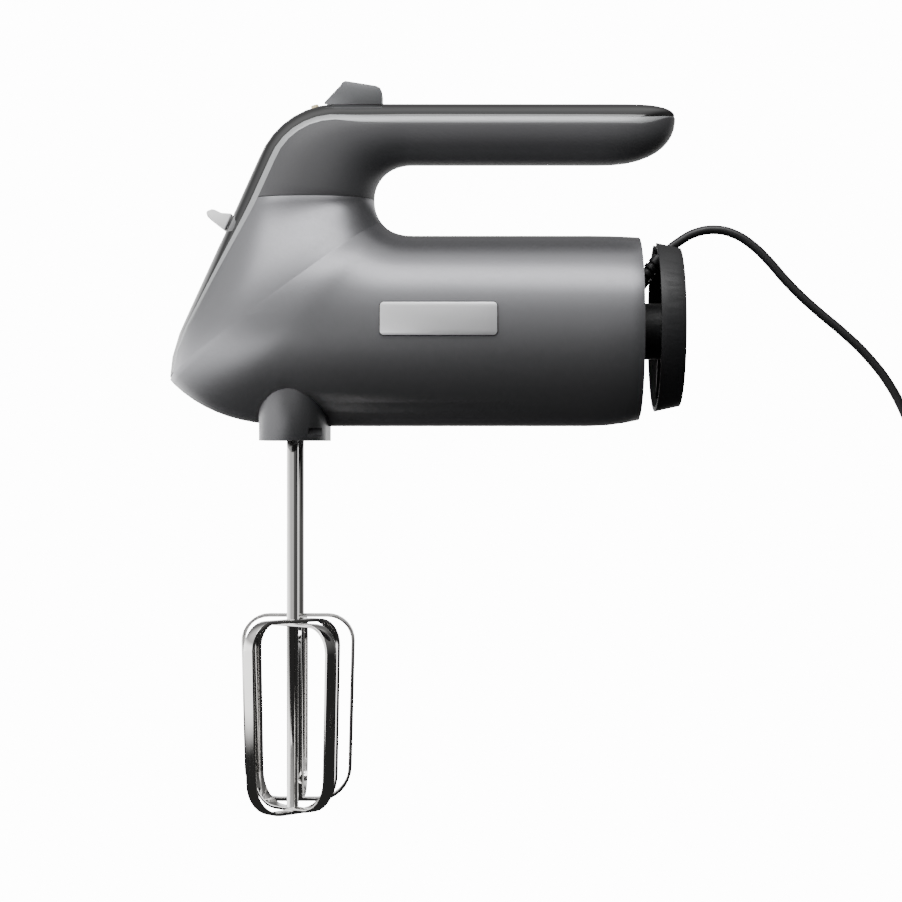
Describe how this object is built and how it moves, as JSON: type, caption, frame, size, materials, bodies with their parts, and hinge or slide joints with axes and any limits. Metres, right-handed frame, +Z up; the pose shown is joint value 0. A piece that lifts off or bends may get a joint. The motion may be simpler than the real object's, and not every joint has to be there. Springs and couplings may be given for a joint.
{
  "type": "hand mixer",
  "caption": "Hand-held kitchen mixer with a looped grip, a sliding speed selector, an eject tab, counter-turning whisk beaters and a rear cord wrap",
  "frame": {"origin": "middle of the grip, where the hand holds it", "axes": "+X towards the cord, -X towards the beaters, +Z up away from the beaters, +Y to the mixer's right side"},
  "size_m": [0.4038, 0.1081, 0.3143],
  "materials": {
    "badge_plate": "brushed",
    "beater_steel": "polished stainless",
    "black_plastic": "fine matt",
    "board": "solder mask",
    "brass": "stamped",
    "bronze": "sintered",
    "carbon": "pressed carbon",
    "clear_tab": "polished",
    "copper": "enamelled wire",
    "cord_rubber": "extruded black",
    "core_steel": "stamped laminations",
    "gloss_black": "polished black",
    "graphite_body": "satin metallic dark grey",
    "lens": "polished amber",
    "nylon": "natural nylon",
    "plain_steel": "turned",
    "selector_metal": "satin",
    "silver_trim": "satin silver",
    "soft_grip": "soft-touch dark grey",
    "zinc": "die cast"
  },
  "bodies": {
    "housing": {"handle_shell_left": "soft_grip", "handle_shell_right": "soft_grip", "body_shell_left": "graphite_body", "body_shell_right": "graphite_body", "top_cover": "gloss_black", "trim_band": "silver_trim", "badge_left": "badge_plate", "badge_right": "badge_plate", "tool_collar": "black_plastic", "rear_cap": "black_plastic", "indicator_lens": "lens", "return_springs": "plain_steel", "field_core": "core_steel", "field_coils": "copper", "front_bearing": "plain_steel", "rear_bearing": "plain_steel", "rear_bracket": "black_plastic", "brush_holders": "brass", "carbon_brushes": "carbon", "gear_frame": "zinc", "spindle_bushes": "bronze", "speed_switch": "black_plastic", "circuit_board": "board", "terminal_block": "nylon", "shell_screws": "plain_steel", "cord_wrap": "black_plastic", "strain_relief": "cord_rubber", "cord": "cord_rubber", "cord_coil": "cord_rubber", "cord_tail": "cord_rubber", "plug_body": "black_plastic", "plug_pins": "plain_steel"},
    "selector": {"speed_selector": "selector_metal", "selector_contact": "black_plastic"},
    "ejector": {"eject_lever": "clear_tab", "ejector_plate": "plain_steel"},
    "rotor": {"armature_core": "core_steel", "armature_windings": "copper", "commutator": "copper", "worm_shaft": "plain_steel", "cooling_fan": "nylon"},
    "left_drive": {"worm_wheel_left": "nylon", "spindle_left": "plain_steel"},
    "right_drive": {"worm_wheel_right": "nylon", "spindle_right": "plain_steel"},
    "left_beater": {"beater_left": "beater_steel"},
    "right_beater": {"beater_right": "beater_steel"}
  },
  "joints": [
    {"name": "selector_slide", "type": "slide", "parent": "housing", "child": "selector", "axis": [1, 0, 0], "range_m": [0, 0.02]},
    {"name": "eject_press", "type": "slide", "parent": "housing", "child": "ejector", "axis": [0, 0, -1], "range_m": [0, 0.005], "stiffness_N_per_m": 900, "springref_m": -0.004, "deforming": ["return_springs"]},
    {"name": "rotor_spin", "type": "hinge", "parent": "housing", "child": "rotor", "pos_m": [-0.02, 0, -0.08545], "axis": [1, 0, 0], "continuous": true},
    {"name": "left_drive_spin", "type": "hinge", "parent": "housing", "child": "left_drive", "pos_m": [-0.0976, -0.019, -0.08545], "axis": [0, 0, 1], "continuous": true},
    {"name": "right_drive_spin", "type": "hinge", "parent": "housing", "child": "right_drive", "pos_m": [-0.0976, 0.019, -0.08545], "axis": [0, 0, 1], "continuous": true},
    {"name": "left_beater_release", "type": "slide", "parent": "left_drive", "child": "left_beater", "axis": [0, 0, -1], "range_m": [0, 0.005]},
    {"name": "right_beater_release", "type": "slide", "parent": "right_drive", "child": "right_beater", "axis": [0, 0, -1], "range_m": [0, 0.005]}
  ],
  "couplings": [
    {"joint": "left_drive_spin", "follows": "rotor_spin", "ratio": 0.066667},
    {"joint": "right_drive_spin", "follows": "rotor_spin", "ratio": -0.066667},
    {"joint": "left_beater_release", "follows": "eject_press", "ratio": 1},
    {"joint": "right_beater_release", "follows": "eject_press", "ratio": 1}
  ]
}
